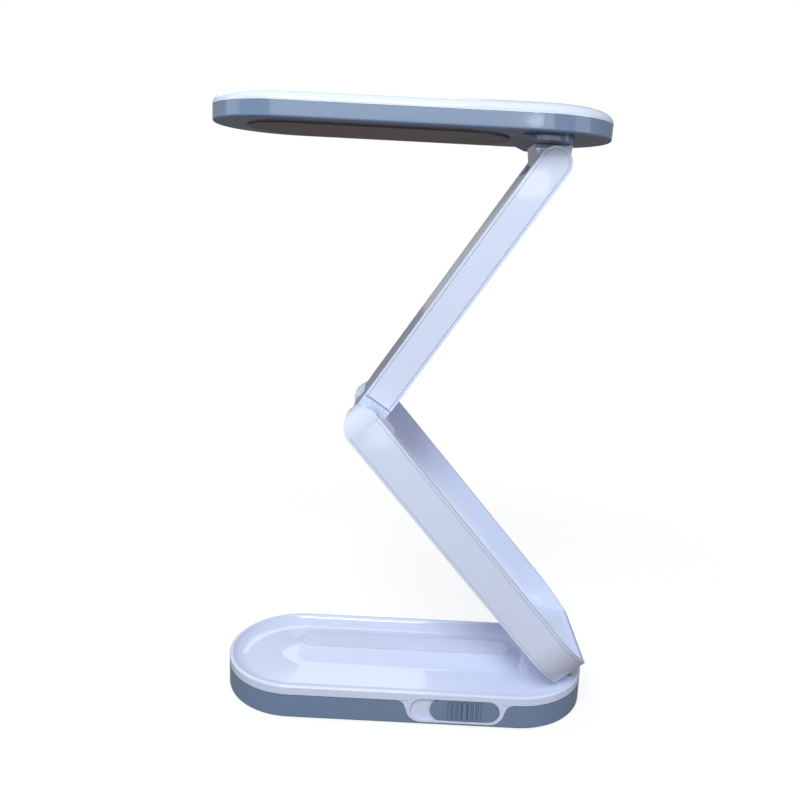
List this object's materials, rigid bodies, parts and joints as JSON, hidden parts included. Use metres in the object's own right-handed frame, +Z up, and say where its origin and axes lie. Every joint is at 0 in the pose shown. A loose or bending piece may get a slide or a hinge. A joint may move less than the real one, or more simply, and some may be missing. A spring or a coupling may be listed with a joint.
{
  "type": "folding desk lamp",
  "caption": "Folding desk lamp: charging base with a slide switch, channel-shaped lower arm, slim upper arm that nests in it, and a flat round-ended light head.",
  "frame": {"origin": "centre of the flat underside of the rubber pad under the base, at rest on a table", "axes": "+X along the base towards the base hinge, +Y to the back away from the switch, +Z up"},
  "size_m": [0.2019, 0.0787, 0.3121],
  "materials": {
    "white_plastic": "gloss",
    "grey_plastic": "gloss",
    "rubber": "matte",
    "steel": "satin",
    "dark_plastic": "matte",
    "circuit_board": "satin",
    "cell_foil": "satin",
    "wire": "satin",
    "diffuser": "satin",
    "led": "satin"
  },
  "bodies": {
    "base": {"base_pad": "rubber", "base_bottom_shell": "grey_plastic", "base_top_shell": "white_plastic", "base_screws": "steel", "battery": "cell_foil", "control_board": "circuit_board", "slide_switch": "steel", "charging_socket": "steel", "base_hinge_bracket": "steel", "base_hinge_pin": "steel", "base_hinge_washers": "dark_plastic"},
    "slider": {"switch_lever": "dark_plastic", "switch_slider": "grey_plastic"},
    "lower_arm": {"lower_arm_tub": "white_plastic", "lower_arm_back": "white_plastic", "lower_arm_screws": "steel", "lower_arm_lead": "wire", "mid_hinge_pin": "steel", "mid_hinge_washers": "dark_plastic"},
    "upper_arm": {"upper_arm_shell": "white_plastic", "upper_arm_cover": "white_plastic", "upper_arm_front_trim": "white_plastic", "upper_arm_rear_trim": "white_plastic", "upper_arm_screws": "steel", "upper_arm_lead": "wire", "head_hinge_pin": "steel", "head_hinge_washers": "dark_plastic"},
    "head": {"head_hinge_block": "white_plastic", "head_frame": "grey_plastic", "head_top_cover": "white_plastic", "diffuser": "diffuser", "led_board": "circuit_board", "leds": "led", "head_screws": "steel", "head_lead": "wire"}
  },
  "joints": [
    {"name": "base_fold", "type": "hinge", "parent": "base", "child": "lower_arm", "pos_m": [0.087, 0, 0.0284], "axis": [0, 1, 0], "range_deg": [-49.45, 40]},
    {"name": "mid_fold", "type": "hinge", "parent": "lower_arm", "child": "upper_arm", "pos_m": [-0.02456, 0, 0.15879], "axis": [0, 1, 0], "range_deg": [-70, 105.55]},
    {"name": "head_tilt", "type": "hinge", "parent": "upper_arm", "child": "head", "pos_m": [0.05994, 0, 0.28453], "axis": [0, 1, 0], "range_deg": [-57.02, 37.82]},
    {"name": "switch_slide", "type": "slide", "parent": "base", "child": "slider", "axis": [-1, 0, 0], "range_m": [0, 0.01]}
  ],
  "couplings": [
    {"joint": "head_tilt", "follows": "mid_fold", "ratio": -0.54003}
  ]
}
